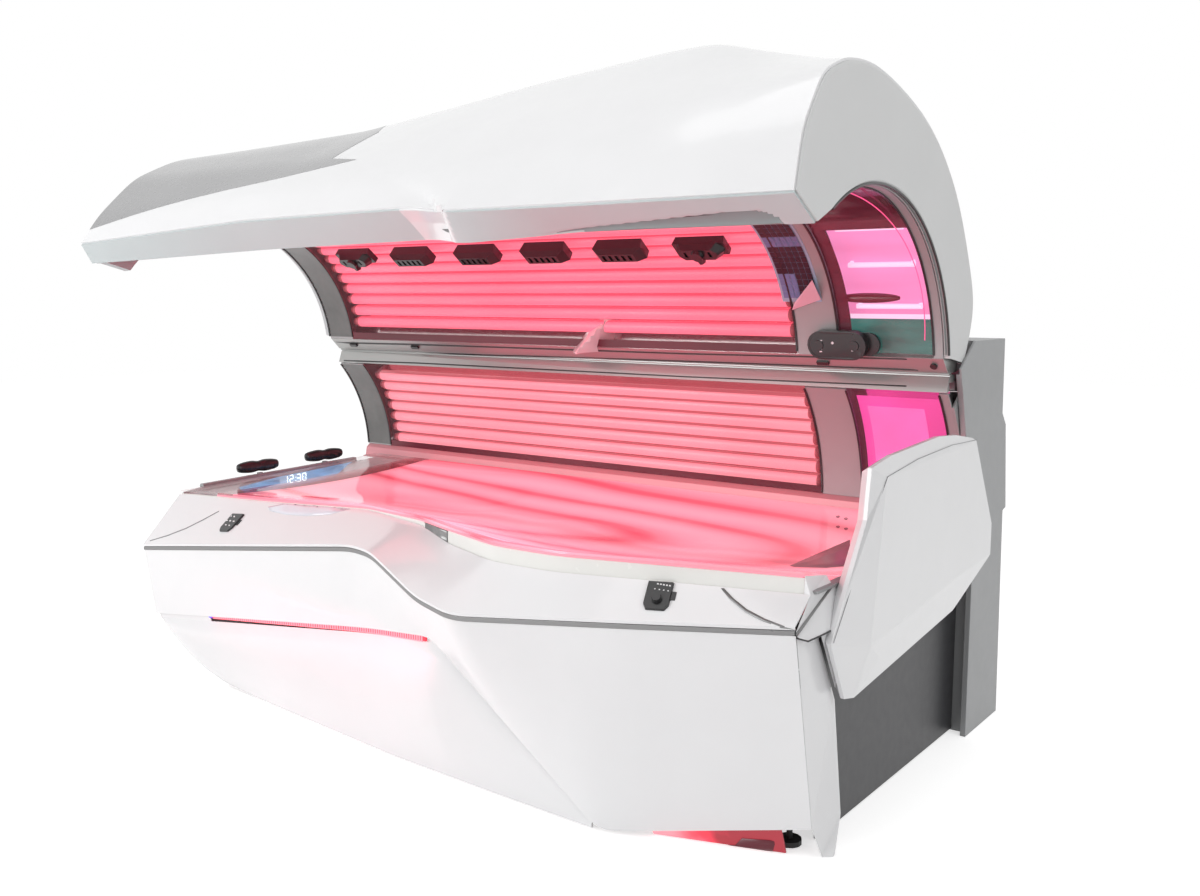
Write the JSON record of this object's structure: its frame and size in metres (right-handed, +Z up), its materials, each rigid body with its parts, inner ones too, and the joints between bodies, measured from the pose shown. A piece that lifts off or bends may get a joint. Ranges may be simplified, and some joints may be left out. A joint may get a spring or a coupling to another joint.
{
  "type": "tanning bed",
  "caption": "Clamshell tanning bed: hinged lamp canopy on gas springs over a moulded base with a clear lying surface, curved side lamp panel, air jets and touch panels.",
  "frame": {"origin": "on the floor, below the middle of the whole bed with the canopy open", "axes": "+X along the bed towards the head end, -Y towards the user, +Z up"},
  "size_m": [2.4088, 1.482, 1.803],
  "materials": {
    "white_gloss": "gloss",
    "light_grey": "satin",
    "silver_paint": "satin",
    "dark_grey": "satin",
    "aluminium": "satin",
    "reflector": "polished",
    "rib_grey": "satin",
    "acrylic": "clear",
    "lamp_glass": "frosted",
    "holder_white": "matte",
    "black_plastic": "satin",
    "light_strip": "translucent",
    "chrome": "polished",
    "black_steel": "matte",
    "rubber": "matte"
  },
  "bodies": {
    "base": {"front_cover": "white_gloss", "hull_cover": "white_gloss", "rim_cover": "white_gloss", "corner_cover": "white_gloss", "foot_end_cover": "white_gloss", "head_shield": "white_gloss", "bench_band": "white_gloss", "bench_liner": "light_grey", "column_foot": "silver_paint", "column_head": "silver_paint", "head_ledge": "silver_paint", "head_end_panel": "dark_grey", "rear_cover": "dark_grey", "console": "dark_grey", "lower_rail": "aluminium", "base_rail": "aluminium", "front_trim": "aluminium", "foot_rail": "aluminium", "side_tray": "reflector", "bench_tray": "reflector", "side_ribs": "rib_grey", "side_panes": "acrylic", "side_lamps": "lamp_glass", "bench_lamps": "lamp_glass", "base_holders": "holder_white", "keypads": "black_plastic", "mains_inlet": "black_plastic", "fan_housing": "black_plastic", "light_strips": "light_strip", "base_frame": "black_steel", "spring_cylinders": "black_steel", "ballasts": "black_steel", "levelling_feet": "rubber"},
    "canopy": {"canopy_tray": "reflector", "canopy_lamps": "lamp_glass", "canopy_holders": "holder_white", "canopy_ribs": "rib_grey", "canopy_panes": "acrylic", "face_lamps": "lamp_glass", "canopy_shell": "white_gloss", "canopy_silver": "silver_paint", "canopy_fascia": "light_grey", "canopy_lip": "black_plastic", "canopy_end_head": "light_grey", "canopy_end_foot": "light_grey", "upper_rail": "aluminium", "hinge_levers": "black_steel", "air_outlets": "black_plastic", "control_pod": "black_plastic", "rail_clips": "aluminium"},
    "lying_surface": {"bench_acrylic": "acrylic"},
    "rods": {"spring_rods": "chrome"},
    "nozzle_foot": {"swivel_foot": "black_plastic"},
    "nozzle_head": {"swivel_head": "black_plastic"},
    "jet_front": {"foot_nozzle_front": "black_plastic"},
    "jet_rear": {"foot_nozzle_rear": "black_plastic"},
    "knob": {"volume_knob": "chrome"},
    "key_1": {"pod_key_1": "chrome"},
    "key_2": {"pod_key_2": "chrome"},
    "rotor": {"fan_rotor": "black_plastic"}
  },
  "joints": [
    {"name": "canopy_hinge", "type": "hinge", "parent": "base", "child": "canopy", "pos_m": [0, 0.304, 1.006], "axis": [1, 0, 0], "range_deg": [0, 42], "stiffness_Nm_per_rad": 240, "springref_deg": -94.54},
    {"name": "spring_travel", "type": "slide", "parent": "base", "child": "rods", "axis": [0, 0, 1], "range_m": [0, 0.1643]},
    {"name": "lying_surface_hinge", "type": "hinge", "parent": "base", "child": "lying_surface", "pos_m": [0, 0.399, 0.603], "axis": [1, 0, 0], "range_deg": [-28, 0]},
    {"name": "nozzle_foot_turn", "type": "hinge", "parent": "canopy", "child": "nozzle_foot", "pos_m": [-0.815, 0.08335, 1.34288], "axis": [0, -0.6157, -0.788], "range_deg": [-35, 35]},
    {"name": "nozzle_head_turn", "type": "hinge", "parent": "canopy", "child": "nozzle_head", "pos_m": [0.54, 0.08335, 1.34288], "axis": [0, -0.6157, -0.788], "range_deg": [-35, 35]},
    {"name": "jet_front_turn", "type": "hinge", "parent": "base", "child": "jet_front", "pos_m": [-1.111, -0.124, 0.6], "axis": [0, 0, 1], "range_deg": [-30, 30]},
    {"name": "jet_rear_turn", "type": "hinge", "parent": "base", "child": "jet_rear", "pos_m": [-1.111, 0.16, 0.608], "axis": [0, 0, 1], "range_deg": [-30, 30]},
    {"name": "volume_turn", "type": "hinge", "parent": "base", "child": "knob", "pos_m": [0.867, -0.61242, 0.57506], "axis": [0.1896, -0.6238, 0.7583], "range_deg": [-150, 150]},
    {"name": "key_1_press", "type": "slide", "parent": "canopy", "child": "key_1", "axis": [0, -0.9806, -0.1959], "range_m": [-0.0015, 0], "stiffness_N_per_m": 400, "springref_m": 0.001},
    {"name": "key_2_press", "type": "slide", "parent": "canopy", "child": "key_2", "axis": [0, -0.9806, -0.1959], "range_m": [-0.0015, 0], "stiffness_N_per_m": 400, "springref_m": 0.001},
    {"name": "fan_spin", "type": "hinge", "parent": "base", "child": "rotor", "pos_m": [-0.25, 0.6, 0.25], "axis": [0, 1, 0], "continuous": true}
  ],
  "couplings": [
    {"joint": "spring_travel", "follows": "canopy_hinge", "m_per_rad": 0.22403}
  ]
}
